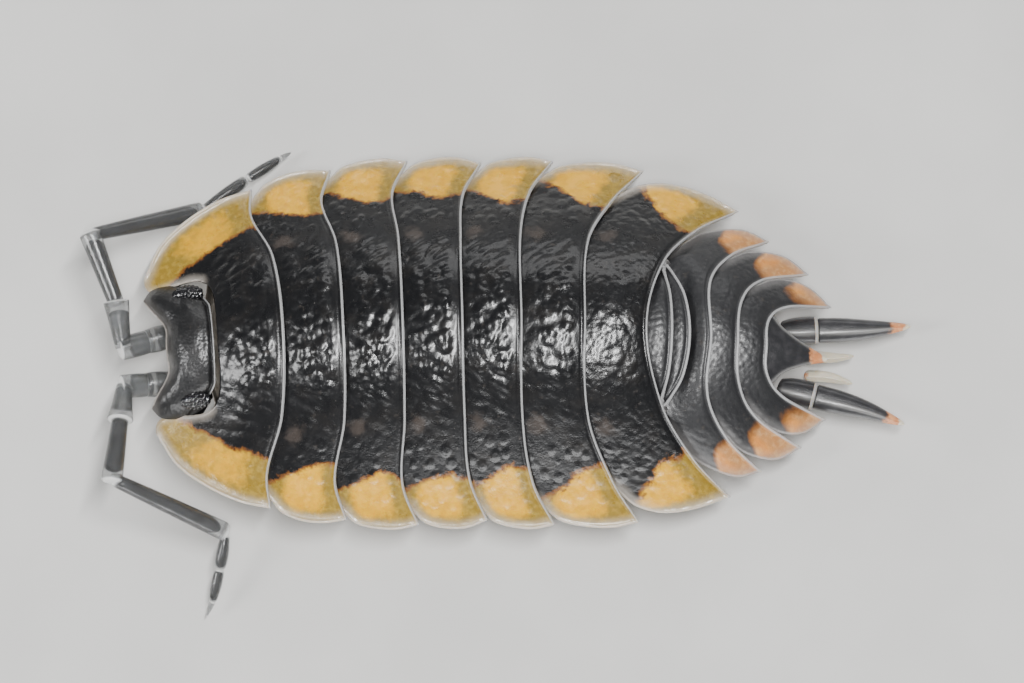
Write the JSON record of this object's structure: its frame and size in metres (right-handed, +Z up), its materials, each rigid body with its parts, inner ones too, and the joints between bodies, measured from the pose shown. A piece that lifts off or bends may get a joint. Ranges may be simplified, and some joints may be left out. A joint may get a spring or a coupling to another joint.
{
  "type": "woodlouse, life-size still model",
  "caption": "Life-size still model of a broad black woodlouse with yellow-orange side plates, standing on its legs with both antennae folded back.",
  "frame": {"origin": "middle of the bounding box in plan, on the floor that the feet stand on", "axes": "head towards -X and tail towards +X, +Y on the animal's right side, +Z up"},
  "size_m": [0.0248, 0.0142, 0.0044],
  "materials": {
    "shell": "glossy black chitin back plates with yellow-orange side patches and thin translucent grey rims",
    "eye": "glossy black compound eye of round facets",
    "antenna": "translucent grey chitin with a dark core and white joints",
    "leg": "pale grey translucent chitin",
    "tail": "orange translucent chitin that pales to cream at the tips"
  },
  "bodies": {
    "root": {"head": "shell", "eye_left": "eye", "eye_right": "eye", "pereonite_1": "shell", "pereonite_2": "shell", "pereonite_3": "shell", "pereonite_4": "shell", "pereonite_5": "shell", "pereonite_6": "shell", "pereonite_7": "shell", "pleonite_1": "shell", "pleonite_2": "shell", "pleonite_3": "shell", "pleonite_4": "shell", "pleonite_5": "shell", "telson": "tail", "antenna_left": "antenna", "antenna_left_flagellum": "antenna", "antenna_right": "antenna", "antenna_right_flagellum": "antenna", "leg_left_1": "leg", "leg_left_2": "leg", "leg_left_3": "leg", "leg_left_4": "leg", "leg_left_5": "leg", "leg_left_6": "leg", "leg_left_7": "leg", "leg_right_1": "leg", "leg_right_2": "leg", "leg_right_3": "leg", "leg_right_4": "leg", "leg_right_5": "leg", "leg_right_6": "leg", "leg_right_7": "leg", "mouthparts": "leg", "pleopods_left": "leg", "pleopods_right": "leg", "uropod_left_protopod": "tail", "uropod_left_exopod": "tail", "uropod_left_endopod": "tail", "uropod_right_protopod": "tail", "uropod_right_exopod": "tail", "uropod_right_endopod": "tail"}
  },
  "joints": []
}
